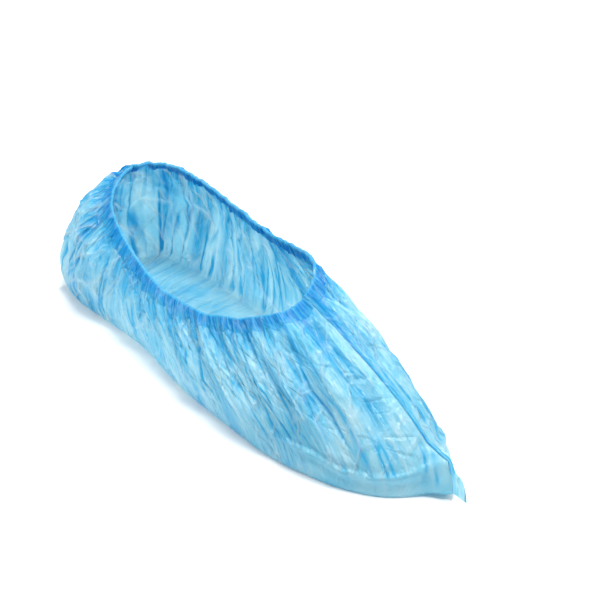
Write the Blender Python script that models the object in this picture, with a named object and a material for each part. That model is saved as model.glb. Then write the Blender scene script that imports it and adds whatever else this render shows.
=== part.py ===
"""Disposable film shoe cover, standing open in its worn form.

Metres, +Z up, toe towards -Y, the wearer's right side towards -X.
The origin is on the floor, at the middle of the cover's box.
"""
from collections import namedtuple
from math import cos, pi, radians, sin

import bpy
from mathutils import Vector

# Overall form. The tables below are shares of these three sizes.
LENGTH = 0.315
WIDTH = 0.100
HEIGHT = 0.0675

# Film, hem and elastic
FILM_WALL = 0.001
HEM_DEPTH = 0.010
HEM_TURN = 0.0065
ELASTIC_DIAMETER = 0.0016
CLEARANCE = 0.0003
HEM_GAP = 0.0005
PLEAT_HEIGHT = 0.0011
PLEAT_REACH = 0.030
SOLE_FADE = 0.018

# Welded fins
SEAM_WALL = 0.0012
TOE_PLATE = 0.0165
HEEL_FIN = 0.004

# Mesh density
RIBS_PER_SIDE = 64
WALL_ROWS = 12
TOE_SEAM_STATIONS = 30
HEEL_SEAM_STATIONS = 12
ROW_SPREAD = 1.35
RIB_SAMPLES = 48

# A section runs from the opening's rim down the wall to the sole's edge.
# place: share of the way along one side, 0 at the toe seam and 1 at the heel seam.
# Columns x are shares of WIDTH, y of LENGTH and z of HEIGHT.
# run: how far the wall first follows the way to its foot, as a share of that way.
# shoulder and swell: how far the upper and the lower wall stand out, as shares of WIDTH.
Section = namedtuple("Section", "place rim_x rim_y rim_z foot_x foot_y run shoulder swell")

TOE_SECTION = Section(0.00, -0.005, -0.121, 0.99, 0.105, -0.455, 0.41, 0.00, -0.02)
HEEL_SECTION = Section(1.00, 0.055, 0.438, 1.02, 0.010, 0.472, 0.00, 0.20, 0.15)

NEAR_SIDE = (
    TOE_SECTION,
    Section(0.12, -0.135, -0.130, 0.97, -0.155, -0.413, 0.38, 0.03, 0.02),
    Section(0.25, -0.275, -0.083, 0.875, -0.330, -0.324, 0.25, 0.06, 0.05),
    Section(0.40, -0.355, 0.025, 0.735, -0.435, -0.171, 0.08, 0.09, 0.06),
    Section(0.55, -0.360, 0.127, 0.69, -0.442, 0.019, 0.00, 0.10, 0.07),
    Section(0.70, -0.325, 0.229, 0.735, -0.380, 0.210, 0.00, 0.10, 0.08),
    Section(0.85, -0.235, 0.356, 0.89, -0.410, 0.392, 0.00, 0.18, 0.09),
    Section(0.93, -0.110, 0.406, 0.98, -0.330, 0.462, 0.00, 0.26, 0.14),
    HEEL_SECTION,
)

FAR_SIDE = (
    TOE_SECTION,
    Section(0.12, 0.145, -0.086, 1.03, 0.285, -0.400, 0.30, 0.00, 0.01),
    Section(0.25, 0.265, -0.025, 1.02, 0.355, -0.310, 0.22, 0.00, 0.00),
    Section(0.40, 0.335, 0.063, 0.905, 0.375, -0.165, 0.12, 0.05, 0.03),
    Section(0.55, 0.370, 0.159, 0.83, 0.365, 0.035, 0.00, 0.07, 0.06),
    Section(0.70, 0.375, 0.254, 0.85, 0.345, 0.210, 0.00, 0.07, 0.07),
    Section(0.85, 0.305, 0.368, 0.96, 0.305, 0.384, 0.00, 0.08, 0.12),
    Section(0.93, 0.200, 0.413, 1.01, 0.240, 0.454, 0.00, 0.16, 0.18),
    HEEL_SECTION,
)

# The wall's two handles, as shares of the rim's height
SHOULDER_DROP = 0.20
SWELL_RISE = 0.42

# Long folds that fan out from the rim. side: -1 near, +1 far.
# place: share along the side at the rim, drift: how far that moves on the way down.
# start and end: shares of the way down, breadth: share of the side,
# height: share of HEIGHT, negative for a hollow.
Fold = namedtuple("Fold", "side place drift start end breadth height")

FOLDS = (
    Fold(-1, 0.055, 0.02, 0.04, 0.80, 0.040, -0.050),
    Fold(-1, 0.115, 0.02, 0.06, 0.88, 0.045, 0.055),
    Fold(-1, 0.180, 0.00, 0.04, 0.90, 0.040, -0.060),
    Fold(-1, 0.225, 0.00, 0.06, 0.85, 0.040, 0.045),
    Fold(-1, 0.265, -0.01, 0.08, 0.85, 0.040, -0.055),
    Fold(-1, 0.305, -0.02, 0.04, 0.80, 0.040, 0.040),
    Fold(-1, 0.345, -0.04, 0.05, 0.88, 0.045, -0.055),
    Fold(-1, 0.395, -0.02, 0.06, 0.85, 0.045, 0.050),
    Fold(-1, 0.445, 0.00, 0.05, 0.90, 0.045, -0.055),
    Fold(-1, 0.500, 0.00, 0.08, 0.80, 0.050, 0.040),
    Fold(-1, 0.570, -0.01, 0.10, 0.80, 0.050, -0.035),
    Fold(-1, 0.670, -0.06, 0.05, 0.85, 0.050, -0.060),
    Fold(-1, 0.715, -0.02, 0.08, 0.75, 0.045, 0.050),
    Fold(-1, 0.760, -0.01, 0.05, 0.80, 0.040, -0.050),
    Fold(-1, 0.815, 0.00, 0.10, 0.80, 0.050, 0.045),
    Fold(-1, 0.880, 0.01, 0.05, 0.70, 0.045, -0.045),
    Fold(-1, 0.945, 0.00, 0.05, 0.60, 0.040, 0.030),
    Fold(1, 0.090, 0.01, 0.05, 0.85, 0.045, 0.060),
    Fold(1, 0.165, 0.00, 0.04, 0.90, 0.045, -0.065),
    Fold(1, 0.235, -0.01, 0.06, 0.80, 0.045, 0.050),
    Fold(1, 0.310, -0.02, 0.05, 0.80, 0.045, -0.050),
    Fold(1, 0.400, -0.02, 0.08, 0.75, 0.050, 0.045),
    Fold(1, 0.490, -0.01, 0.05, 0.80, 0.050, -0.045),
    Fold(1, 0.600, 0.00, 0.08, 0.80, 0.055, 0.045),
    Fold(1, 0.700, 0.00, 0.05, 0.80, 0.050, -0.050),
    Fold(1, 0.800, 0.01, 0.08, 0.75, 0.050, 0.045),
    Fold(1, 0.890, 0.01, 0.05, 0.70, 0.045, -0.045),
)

# The toe fin. way: share of the way down the seam, width: share of TOE_PLATE,
# lean: degrees from upright towards the far side.
FinRow = namedtuple("FinRow", "way width lean")

TOE_FIN = (
    FinRow(0.00, 0.25, 65.0),
    FinRow(0.08, 0.45, 58.0),
    FinRow(0.25, 0.38, 62.0),
    FinRow(0.50, 0.29, 60.0),
    FinRow(0.70, 0.38, 40.0),
    FinRow(0.85, 0.50, 15.0),
    FinRow(0.93, 0.82, 0.0),
    FinRow(1.00, 1.00, 0.0),
)

# The heel fin's lean towards the near side, in degrees
HEEL_LEAN = 75.0

MATERIALS = {
    "film_body": ("pale blue film", (0.52, 0.74, 0.90, 1.0), 0.30),
    "gathered_hem": ("gathered blue film", (0.24, 0.50, 0.80, 1.0), 0.35),
    "elastic_cord": ("blue elastic", (0.30, 0.52, 0.78, 1.0), 0.60),
    "toe_seam": ("welded toe film", (0.34, 0.60, 0.86, 1.0), 0.30),
    "heel_seam": ("welded heel film", (0.34, 0.60, 0.86, 1.0), 0.30),
}

Point = namedtuple("Point", "position normal along down")


def smooth_step(value):
    """Ease from 0 to 1 and hold outside."""
    value = min(max(value, 0.0), 1.0)
    return value * value * (3.0 - 2.0 * value)


def read_table(rows, column, at):
    """Smooth value of a column at a place of a table, without overshoot."""
    key = rows[0]._fields[0]
    places = [getattr(row, key) for row in rows]
    values = [getattr(row, column) for row in rows]
    steps = [b - a for a, b in zip(places, places[1:])]
    slopes = [(b - a) / step for a, b, step in zip(values, values[1:], steps)]
    turns = [slopes[0]]
    for before, after in zip(slopes, slopes[1:]):
        same_way = before * after > 0.0
        turns.append(2.0 * before * after / (before + after) if same_way else 0.0)
    turns.append(slopes[-1])
    index = max(i for i in range(len(steps)) if places[i] <= at or i == 0)
    step = steps[index]
    t = (at - places[index]) / step
    near_part = (1 + 2 * t) * (1 - t) ** 2 * values[index] + t * (1 - t) ** 2 * step * turns[index]
    far_part = t * t * (3 - 2 * t) * values[index + 1] - t * t * (1 - t) * step * turns[index + 1]
    return near_part + far_part


def side_and_place(rib):
    """Side (-1 near, +1 far) and share along it of a rib of the closed loop."""
    rib %= 2 * RIBS_PER_SIDE
    if rib <= RIBS_PER_SIDE:
        return -1, rib / RIBS_PER_SIDE
    return 1, (2 * RIBS_PER_SIDE - rib) / RIBS_PER_SIDE


def section_at(rib):
    """All columns of the section table at one rib."""
    side, place = side_and_place(rib)
    rows = NEAR_SIDE if side < 0 else FAR_SIDE
    return Section(*[read_table(rows, column, place) for column in Section._fields])


def outward_directions(feet):
    """Level directions away from the sole at each foot, softened round the corners."""
    count = len(feet)
    across = []
    for i in range(count):
        along = feet[(i + 2) % count] - feet[i - 2]
        across.append(Vector((-along.y, along.x, 0.0)).normalized())
    softened = []
    for i in range(count):
        total = Vector()
        for shift in (-2, -1, 0, 1, 2):
            total += across[(i + shift) % count]
        softened.append(total.normalized())
    return softened


def rib_curve(section, outward):
    """Points of a wall section from the rim to the sole's edge."""
    rim = Vector((section.rim_x * WIDTH, section.rim_y * LENGTH, section.rim_z * HEIGHT))
    foot = Vector((section.foot_x * WIDTH, section.foot_y * LENGTH, 0.0))
    way = Vector((foot.x - rim.x, foot.y - rim.y, 0.0))
    upper = rim + way * section.run + outward * section.shoulder * WIDTH
    upper.z -= SHOULDER_DROP * rim.z
    lower = foot + outward * section.swell * WIDTH
    lower.z += SWELL_RISE * rim.z
    points = []
    for i in range(RIB_SAMPLES + 1):
        t = i / RIB_SAMPLES
        points.append((1 - t) ** 3 * rim + 3 * (1 - t) ** 2 * t * upper
                      + 3 * (1 - t) * t * t * lower + t ** 3 * foot)
    return points


class Cover:
    """The film's smooth surface, with its pleats and folds laid on it."""

    def __init__(self):
        self.count = 2 * RIBS_PER_SIDE
        sections = [section_at(rib) for rib in range(self.count)]
        feet = [Vector((s.foot_x * WIDTH, s.foot_y * LENGTH, 0.0)) for s in sections]
        outward = outward_directions(feet)
        self.curves = [rib_curve(s, out) for s, out in zip(sections, outward)]
        self.ways = [self.measure(curve) for curve in self.curves]

    @staticmethod
    def measure(curve):
        """Distance from the rim to each point of a rib."""
        way = [0.0]
        for a, b in zip(curve, curve[1:]):
            way.append(way[-1] + (b - a).length)
        return way

    def length(self, rib):
        return self.ways[rib % self.count][-1]

    def smooth_point(self, rib, depth):
        """Point of the smooth wall at a distance below the rim."""
        curve = self.curves[rib % self.count]
        way = self.ways[rib % self.count]
        index = 0
        while index < RIB_SAMPLES - 1 and way[index + 1] < depth:
            index += 1
        share = (depth - way[index]) / (way[index + 1] - way[index])
        return curve[index].lerp(curve[index + 1], share)

    def lift(self, rib, depth):
        """Height of the pleats and folds above the smooth wall."""
        side, place = side_and_place(rib)
        size = 0.6 + 0.4 * sin(2.4 * rib)
        sign = 1.0 if rib % 2 else -1.0
        height = sign * size * PLEAT_HEIGHT * (1.0 - smooth_step(depth / PLEAT_REACH))
        way = depth / self.length(rib)
        for fold in FOLDS:
            if fold.side != side:
                continue
            offset = (place - fold.place - fold.drift * way) / fold.breadth
            span = (way - fold.start) / (fold.end - fold.start)
            if abs(offset) < 1.0 and 0.0 < span < 1.0:
                height += fold.height * HEIGHT * (1.0 - offset * offset) ** 2 * sin(pi * span)
        fade = smooth_step((self.length(rib) - depth) / SOLE_FADE)
        return height * fade

    def point(self, rib, depth, inset=0.0):
        """Point of the folded wall, inset towards the inside, with its local directions."""
        reach = min(0.002, 0.5 * self.length(rib))
        upper = max(depth - reach, 0.0)
        lower = min(depth + reach, self.length(rib))
        down = (self.smooth_point(rib, lower) - self.smooth_point(rib, upper)).normalized()
        share = depth / self.length(rib)
        after = self.smooth_point(rib + 1, share * self.length(rib + 1))
        before = self.smooth_point(rib - 1, share * self.length(rib - 1))
        along = (after - before).normalized()
        normal = along.cross(down).normalized()
        position = self.smooth_point(rib, depth) + normal * (self.lift(rib, depth) - inset)
        return Point(position, normal, along, down)


def film_body(cover):
    """Open bag from below the hem to the sole; the modifier gives it its wall."""
    top = HEM_DEPTH + HEM_GAP
    points = []
    for rib in range(cover.count):
        run = cover.length(rib) - top
        for row in range(WALL_ROWS + 1):
            share = (row / WALL_ROWS) ** ROW_SPREAD
            points.append(cover.point(rib, top + run * share).position)
    rows = WALL_ROWS + 1
    for rib in range(cover.count):
        points[rib * rows + WALL_ROWS].z = 0.0
    faces = []
    for rib in range(cover.count):
        here = rib * rows
        there = (rib + 1) % cover.count * rows
        for row in range(WALL_ROWS):
            faces.append((here + row, there + row, there + row + 1, here + row + 1))
    faces.append([rib * rows + WALL_ROWS for rib in range(cover.count)])
    return points, faces


def ring_faces(count, size):
    """Quads of a closed ring whose section has a number of points."""
    faces = []
    for rib in range(count):
        here = rib * size
        there = (rib + 1) % count * size
        for i in range(size):
            nxt = (i + 1) % size
            faces.append((here + i, there + i, there + nxt, here + nxt))
    return faces


def gathered_hem(cover):
    """Film turned over the elastic: an outer leg, a round crown and a short inner leg."""
    channel = ELASTIC_DIAMETER + 2 * CLEARANCE
    depth = channel + 2 * FILM_WALL
    crown = 0.4 * depth
    profile = (
        (0.0, 0.5 * depth),
        (crown, 0.0),
        (0.55 * HEM_DEPTH, 0.0),
        (HEM_DEPTH, 0.0),
        (HEM_DEPTH, FILM_WALL),
        (crown + FILM_WALL, FILM_WALL),
        (FILM_WALL, 0.5 * depth),
        (crown + FILM_WALL, depth - FILM_WALL),
        (HEM_TURN, depth - FILM_WALL),
        (HEM_TURN, depth),
        (crown, depth),
    )
    points = []
    for rib in range(cover.count):
        for below, inset in profile:
            points.append(cover.point(rib, below, inset).position)
    return points, ring_faces(cover.count, len(profile))


def elastic_cord(cover):
    """Round elastic that fills the hem's channel."""
    radius = 0.5 * ELASTIC_DIAMETER
    middle = FILM_WALL + CLEARANCE + radius
    below = 2 * FILM_WALL + CLEARANCE + radius
    sides = 6
    points = []
    for rib in range(cover.count):
        centre = cover.point(rib, below, middle)
        for i in range(sides):
            turn = 2 * pi * i / sides
            points.append(centre.position + centre.normal * radius * cos(turn)
                          + centre.down * radius * sin(turn))
    return points, ring_faces(cover.count, sides)


def fin(cover, rib, stations, width_at, lean_at):
    """Welded double film on a seam, from the rim to the floor, laid over to one side."""
    points = []
    start = 2 * FILM_WALL
    end = cover.length(rib)
    for i in range(stations + 1):
        way = i / stations
        lean = radians(lean_at(way))
        root = cover.point(rib, start + (end - start) * way)
        rise = root.normal * cos(lean) - root.along * sin(lean)
        half = (root.along * cos(lean) + root.normal * sin(lean)) * 0.5 * SEAM_WALL
        foot = root.position + root.normal * (CLEARANCE + 0.5 * SEAM_WALL * sin(lean))
        tip = foot + rise * width_at(way)
        points += [foot - half, tip - half, tip + half, foot + half]
    for point in points:
        point.z = max(point.z, 0.0)
    faces = []
    for i in range(stations):
        here = 4 * i
        for a in range(4):
            b = (a + 1) % 4
            faces.append((here + a, here + b, here + 4 + b, here + 4 + a))
    last = 4 * stations
    faces.append((3, 2, 1, 0))
    faces.append((last, last + 1, last + 2, last + 3))
    return points, faces


def toe_seam(cover):
    """Fin down the vamp, over to the far side, ending upright in the pointed toe corner."""
    return fin(cover, 0, TOE_SEAM_STATIONS,
               lambda way: TOE_PLATE * read_table(TOE_FIN, "width", way),
               lambda way: read_table(TOE_FIN, "lean", way))


def heel_seam(cover):
    """Fin down the heel, over to the near side."""
    return fin(cover, RIBS_PER_SIDE, HEEL_SEAM_STATIONS,
               lambda way: HEEL_FIN, lambda way: HEEL_LEAN)


def centre_on_floor(shapes):
    """Move all the pieces together so that the box's middle is over the origin."""
    corners = [point for points, faces in shapes.values() for point in points]
    shift = Vector((
        -0.5 * (min(p.x for p in corners) + max(p.x for p in corners)),
        -0.5 * (min(p.y for p in corners) + max(p.y for p in corners)),
        0.0,
    ))
    for points, faces in shapes.values():
        for point in points:
            point += shift


def add_material(name):
    """Plain surface in the piece's own colour."""
    label, colour, roughness = MATERIALS[name]
    material = bpy.data.materials.new(label)
    material.use_nodes = True
    surface = material.node_tree.nodes["Principled BSDF"]
    surface.inputs["Base Color"].default_value = colour
    surface.inputs["Roughness"].default_value = roughness
    surface.inputs["Metallic"].default_value = 0.0
    material.diffuse_color = colour
    return material


def add_object(name, points, faces):
    """Mesh object with its own material."""
    mesh = bpy.data.meshes.new(name)
    mesh.from_pydata([tuple(point) for point in points], [], faces)
    mesh.update()
    thing = bpy.data.objects.new(name, mesh)
    bpy.context.scene.collection.objects.link(thing)
    mesh.materials.append(add_material(name))
    return thing


def give_wall(thing):
    """Thicken the film towards its inside."""
    wall = thing.modifiers.new("film wall", "SOLIDIFY")
    wall.thickness = FILM_WALL
    wall.offset = -1.0
    wall.use_even_offset = True
    wall.use_rim = True


def main():
    for thing in list(bpy.data.objects):
        bpy.data.objects.remove(thing, do_unlink=True)
    cover = Cover()
    shapes = {
        "film_body": film_body(cover),
        "gathered_hem": gathered_hem(cover),
        "elastic_cord": elastic_cord(cover),
        "toe_seam": toe_seam(cover),
        "heel_seam": heel_seam(cover),
    }
    centre_on_floor(shapes)
    things = {name: add_object(name, *shape) for name, shape in shapes.items()}
    give_wall(things["film_body"])


main()
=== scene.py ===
"""Dressed scene of a disposable film shoe cover, laid out as a Blender add-on.

Metres, +Z up, toe towards -Y, the wearer's right side towards -X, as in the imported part.
"""
from collections import namedtuple
from functools import lru_cache
from math import cos, pi, radians, sin

import bpy
import numpy as np
from bpy.props import FloatProperty, FloatVectorProperty, IntProperty, PointerProperty
from mathutils import Matrix, Vector


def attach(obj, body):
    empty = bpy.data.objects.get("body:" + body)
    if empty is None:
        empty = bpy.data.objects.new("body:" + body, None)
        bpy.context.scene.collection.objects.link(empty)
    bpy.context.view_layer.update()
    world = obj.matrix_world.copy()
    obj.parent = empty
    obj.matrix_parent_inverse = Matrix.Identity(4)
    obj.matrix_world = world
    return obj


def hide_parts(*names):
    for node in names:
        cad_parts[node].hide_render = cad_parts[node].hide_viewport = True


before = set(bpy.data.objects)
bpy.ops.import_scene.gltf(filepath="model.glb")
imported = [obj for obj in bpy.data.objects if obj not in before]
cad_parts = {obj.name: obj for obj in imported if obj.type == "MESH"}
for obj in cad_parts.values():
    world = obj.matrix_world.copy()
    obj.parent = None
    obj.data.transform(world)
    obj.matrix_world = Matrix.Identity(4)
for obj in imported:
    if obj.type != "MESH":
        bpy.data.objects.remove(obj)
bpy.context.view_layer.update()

bl_info = {
    "name": "Film shoe cover",
    "version": (1, 0, 0),
    "blender": (4, 5, 0),
    "location": "3D View > Sidebar > Shoe Cover",
    "description": "Builds a crinkled film shoe cover with its gathered hem and welded fins",
    "category": "Add Mesh",
}

MILLIMETRE = 0.001

# The cover's form, the same as in the part's source: shares of these three sizes
LENGTH = 0.315
WIDTH = 0.100
HEIGHT = 0.0675

# Columns: place along the side from toe to heel, rim x y z, foot x y, run, shoulder, swell
TOE_SECTION = (0.00, -0.005, -0.121, 0.99, 0.105, -0.455, 0.41, 0.00, -0.02)
HEEL_SECTION = (1.00, 0.055, 0.438, 1.02, 0.010, 0.472, 0.00, 0.20, 0.15)

NEAR_SIDE = np.array((
    TOE_SECTION,
    (0.12, -0.135, -0.130, 0.97, -0.155, -0.413, 0.38, 0.03, 0.02),
    (0.25, -0.275, -0.083, 0.875, -0.330, -0.324, 0.25, 0.06, 0.05),
    (0.40, -0.355, 0.025, 0.735, -0.435, -0.171, 0.08, 0.09, 0.06),
    (0.55, -0.360, 0.127, 0.69, -0.442, 0.019, 0.00, 0.10, 0.07),
    (0.70, -0.325, 0.229, 0.735, -0.380, 0.210, 0.00, 0.10, 0.08),
    (0.85, -0.235, 0.356, 0.89, -0.410, 0.392, 0.00, 0.18, 0.09),
    (0.93, -0.110, 0.406, 0.98, -0.330, 0.462, 0.00, 0.26, 0.14),
    HEEL_SECTION,
))

FAR_SIDE = np.array((
    TOE_SECTION,
    (0.12, 0.145, -0.086, 1.03, 0.285, -0.400, 0.30, 0.00, 0.01),
    (0.25, 0.265, -0.025, 1.02, 0.355, -0.310, 0.22, 0.00, 0.00),
    (0.40, 0.335, 0.063, 0.905, 0.375, -0.165, 0.12, 0.05, 0.03),
    (0.55, 0.370, 0.159, 0.83, 0.365, 0.035, 0.00, 0.07, 0.06),
    (0.70, 0.375, 0.254, 0.85, 0.345, 0.210, 0.00, 0.07, 0.07),
    (0.85, 0.305, 0.368, 0.96, 0.305, 0.384, 0.00, 0.08, 0.12),
    (0.93, 0.200, 0.413, 1.01, 0.240, 0.454, 0.00, 0.16, 0.18),
    HEEL_SECTION,
))

# Heights of the upper and the lower bend of a section, as shares of the rim's height
SHOULDER_DROP = 0.20
SWELL_RISE = 0.42
# Brings the middle of the solids' box to the frame's origin
CENTRE_SHIFT = np.array((0.00228, 0.00012, 0.0))

# Depth of the hem's inner leg, height of the lowest film over the floor, reach of the toe's
# corner, and breadth of the heel fin
HEM_TURN = 0.0065
FLOOR_GAP = 0.0002
TOE_REACH = 0.0165
HEEL_FIN = 0.004

# Large folds, the same as in the part's source.
# Columns: side, place, drift, start, end, breadth, height as a share of HEIGHT
FOLDS = (
    (-1, 0.055, 0.02, 0.04, 0.80, 0.040, -0.050),
    (-1, 0.115, 0.02, 0.06, 0.88, 0.045, 0.055),
    (-1, 0.180, 0.00, 0.04, 0.90, 0.040, -0.060),
    (-1, 0.225, 0.00, 0.06, 0.85, 0.040, 0.045),
    (-1, 0.265, -0.01, 0.08, 0.85, 0.040, -0.055),
    (-1, 0.305, -0.02, 0.04, 0.80, 0.040, 0.040),
    (-1, 0.345, -0.04, 0.05, 0.88, 0.045, -0.055),
    (-1, 0.395, -0.02, 0.06, 0.85, 0.045, 0.050),
    (-1, 0.445, 0.00, 0.05, 0.90, 0.045, -0.055),
    (-1, 0.500, 0.00, 0.08, 0.80, 0.050, 0.040),
    (-1, 0.570, -0.01, 0.10, 0.80, 0.050, -0.035),
    (-1, 0.670, -0.06, 0.05, 0.85, 0.050, -0.060),
    (-1, 0.715, -0.02, 0.08, 0.75, 0.045, 0.050),
    (-1, 0.760, -0.01, 0.05, 0.80, 0.040, -0.050),
    (-1, 0.815, 0.00, 0.10, 0.80, 0.050, 0.045),
    (-1, 0.880, 0.01, 0.05, 0.70, 0.045, -0.045),
    (-1, 0.945, 0.00, 0.05, 0.60, 0.040, 0.030),
    (1, 0.090, 0.01, 0.05, 0.85, 0.045, 0.060),
    (1, 0.165, 0.00, 0.04, 0.90, 0.045, -0.065),
    (1, 0.235, -0.01, 0.06, 0.80, 0.045, 0.050),
    (1, 0.310, -0.02, 0.05, 0.80, 0.045, -0.050),
    (1, 0.400, -0.02, 0.08, 0.75, 0.050, 0.045),
    (1, 0.490, -0.01, 0.05, 0.80, 0.050, -0.045),
    (1, 0.600, 0.00, 0.08, 0.80, 0.055, 0.045),
    (1, 0.700, 0.00, 0.05, 0.80, 0.050, -0.050),
    (1, 0.800, 0.01, 0.08, 0.75, 0.050, 0.045),
    (1, 0.890, 0.01, 0.05, 0.70, 0.045, -0.045),
)

# Sharp creases where the film lies doubled: (share of the way down, place) points,
# half the breadth and the depth in millimetres, and how dark the doubled film looks
Crease = namedtuple("Crease", "side line breadth depth dark")
CREASES = (
    Crease(1, ((0.03, 0.120), (0.18, 0.141), (0.41, 0.188), (0.59, 0.172), (0.72, 0.156)), 2.4, 1.0, 0.9),
    Crease(-1, ((0.10, 0.040), (0.39, 0.078), (0.50, 0.062), (0.65, 0.078), (0.74, 0.100)), 0.9, 0.7, 0.7),
    Crease(-1, ((0.10, 0.160), (0.44, 0.188), (0.59, 0.172), (0.74, 0.172), (0.88, 0.150)), 0.9, 0.8, 0.8),
    Crease(-1, ((0.20, 0.262), (0.36, 0.266), (0.71, 0.266), (0.86, 0.245)), 0.8, 0.6, 0.55),
    Crease(-1, ((0.12, 0.290), (0.50, 0.312), (0.69, 0.297), (0.82, 0.297), (0.92, 0.250)), 0.8, 0.7, 0.65),
    Crease(-1, ((0.14, 0.345), (0.51, 0.344), (0.62, 0.328), (0.80, 0.312)), 0.8, 0.6, 0.6),
    Crease(-1, ((0.12, 0.750), (0.65, 0.750)), 0.8, 0.6, 0.55),
    Crease(-1, ((0.06, 0.750), (0.30, 0.672), (0.50, 0.641), (0.72, 0.622)), 0.9, 0.7, 0.7),
    Crease(-1, ((0.10, 0.412), (0.39, 0.453), (0.65, 0.469), (0.86, 0.450)), 0.9, 0.7, 0.7),
    Crease(-1, ((0.08, 0.312), (0.34, 0.328), (0.51, 0.297), (0.70, 0.297)), 0.7, 0.5, 0.55),
    Crease(-1, ((0.45, 0.440), (0.75, 0.422), (0.90, 0.402)), 0.7, 0.5, 0.5),
    Crease(-1, ((0.78, 0.012), (0.88, 0.024), (0.97, 0.044)), 1.1, 0.9, 0.45),
    Crease(-1, ((0.84, 0.004), (0.92, 0.011), (0.99, 0.018)), 0.9, 0.8, 0.5),
)

# The shoe's sole edge presses a ridge into the film round the toe: (place, share down)
WELT_NEAR = np.array(((0.0, 0.90), (0.062, 0.91), (0.125, 0.91), (0.203, 0.90), (0.25, 0.84), (0.36, 0.79)))
WELT_FAR = np.array(((0.0, 0.90), (0.016, 0.88), (0.047, 0.87), (0.20, 0.86)))

# The toe fin: way down the seam, width as a share of the corner's reach, lean in degrees
TOE_FIN = np.array((
    (0.00, 0.20, 55.0),
    (0.08, 0.28, 48.0),
    (0.25, 0.19, 50.0),
    (0.50, 0.11, 52.0),
    (0.70, 0.12, 45.0),
    (0.90, 0.13, 38.0),
    (0.937, 0.22, 22.0),
    (0.957, 0.54, 6.0),
    (1.00, 0.70, 0.0),
))

# The photograph's camera, in the part's frame
EYE = (-0.62444, -0.92674, 0.71271)
CAMERA_BACK = (-0.49465, -0.70126, 0.51337)
CAMERA_ROLL = -0.43
LENS = 144.7


def linear(code):
    """Linear colour of an sRGB hex value."""
    parts = [int(code[i:i + 2], 16) / 255.0 for i in (0, 2, 4)]
    return tuple(c / 12.92 if c <= 0.04045 else ((c + 0.055) / 1.055) ** 2.4 for c in parts)


class CoverFoldSettings(bpy.types.PropertyGroup):
    """Sizes of the film's pleats, wrinkles and crinkles."""

    hem_depth: FloatProperty(
        name="Hem depth", description="Depth of the turned hem over the elastic",
        default=0.010, min=0.004, max=0.02, unit="LENGTH")
    roll_radius: FloatProperty(
        name="Rim radius", description="Radius of the film's turn round the elastic",
        default=0.0010, min=0.0007, max=0.003, unit="LENGTH")
    elastic_radius: FloatProperty(
        name="Elastic radius", description="Radius of the round elastic in the hem",
        default=0.0005, min=0.0003, max=0.002, unit="LENGTH")
    pleat_spacing: FloatProperty(
        name="Pleat spacing", description="Distance between the finest gathers along the rim",
        default=0.0021, min=0.001, max=0.01, unit="LENGTH")
    pleat_height: FloatProperty(
        name="Pleat height", description="Height of the finest gathers",
        default=0.00080, min=0.0, max=0.003, unit="LENGTH")
    crinkle_height: FloatProperty(
        name="Crinkle height", description="Height of the small facets that handling leaves in the film",
        default=0.00085, min=0.0, max=0.003, unit="LENGTH")
    welt_height: FloatProperty(
        name="Sole ridge", description="Height of the ridge that the shoe's sole edge presses",
        default=0.0017, min=0.0, max=0.003, unit="LENGTH")
    seed: IntProperty(
        name="Seed", description="Start of the random wrinkles", default=7, min=0)


class CoverColourSettings(bpy.types.PropertyGroup):
    """Colours of the film and its pieces."""

    taut: FloatVectorProperty(
        name="Taut film", description="Single film, drawn smooth",
        subtype="COLOR", default=linear("CCF2F7"), min=0.0, max=1.0)
    slack: FloatVectorProperty(
        name="Slack film", description="Single film in its shallow wrinkles",
        subtype="COLOR", default=linear("6CD2EC"), min=0.0, max=1.0)
    doubled: FloatVectorProperty(
        name="Doubled film", description="Tint that film gains where it is folded on itself",
        subtype="COLOR", default=linear("22A8E6"), min=0.0, max=1.0)
    hem: FloatVectorProperty(
        name="Hem film", description="Pleated film of the hem",
        subtype="COLOR", default=linear("9CE2F6"), min=0.0, max=1.0)
    elastic: FloatVectorProperty(
        name="Elastic", description="Covered elastic in the hem",
        subtype="COLOR", default=linear("9CCBF0"), min=0.0, max=1.0)


class CoverStageSettings(bpy.types.PropertyGroup):
    """Floor and light."""

    floor: FloatVectorProperty(
        name="Floor", description="Plain pale floor",
        subtype="COLOR", default=linear("FAFAFB"), min=0.0, max=1.0)
    daylight: FloatProperty(
        name="Surround", description="Strength of the even white surround", default=0.33, min=0.0)
    key: FloatProperty(
        name="Overhead light", description="Power of the large overhead light",
        default=16.5, min=0.0, unit="POWER")


def smooth_step(value):
    """Eased rise from 0 to 1 over the values 0 to 1."""
    value = np.clip(value, 0.0, 1.0)
    return value * value * (3.0 - 2.0 * value)


def read_table(rows, column, at):
    """Smooth values of a column at places of a table, without overshoot."""
    places, values = rows[:, 0], rows[:, column]
    steps = np.diff(places)
    slopes = np.diff(values) / steps
    product = slopes[:-1] * slopes[1:]
    total = slopes[:-1] + slopes[1:]
    turns = np.concatenate((
        slopes[:1], np.where(product > 0.0, 2.0 * product / np.where(product > 0.0, total, 1.0), 0.0),
        slopes[-1:]))
    index = np.clip(np.searchsorted(places, at, side="right") - 1, 0, len(steps) - 1)
    step = steps[index]
    t = (at - places[index]) / step
    near_part = (1 + 2 * t) * (1 - t) ** 2 * values[index] + t * (1 - t) ** 2 * step * turns[index]
    far_part = t * t * (3 - 2 * t) * values[index + 1] - t * t * (1 - t) * step * turns[index + 1]
    return near_part + far_part


def unit(vectors):
    """The same directions at length 1."""
    return vectors / np.maximum(np.linalg.norm(vectors, axis=-1, keepdims=True), 1e-12)


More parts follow.
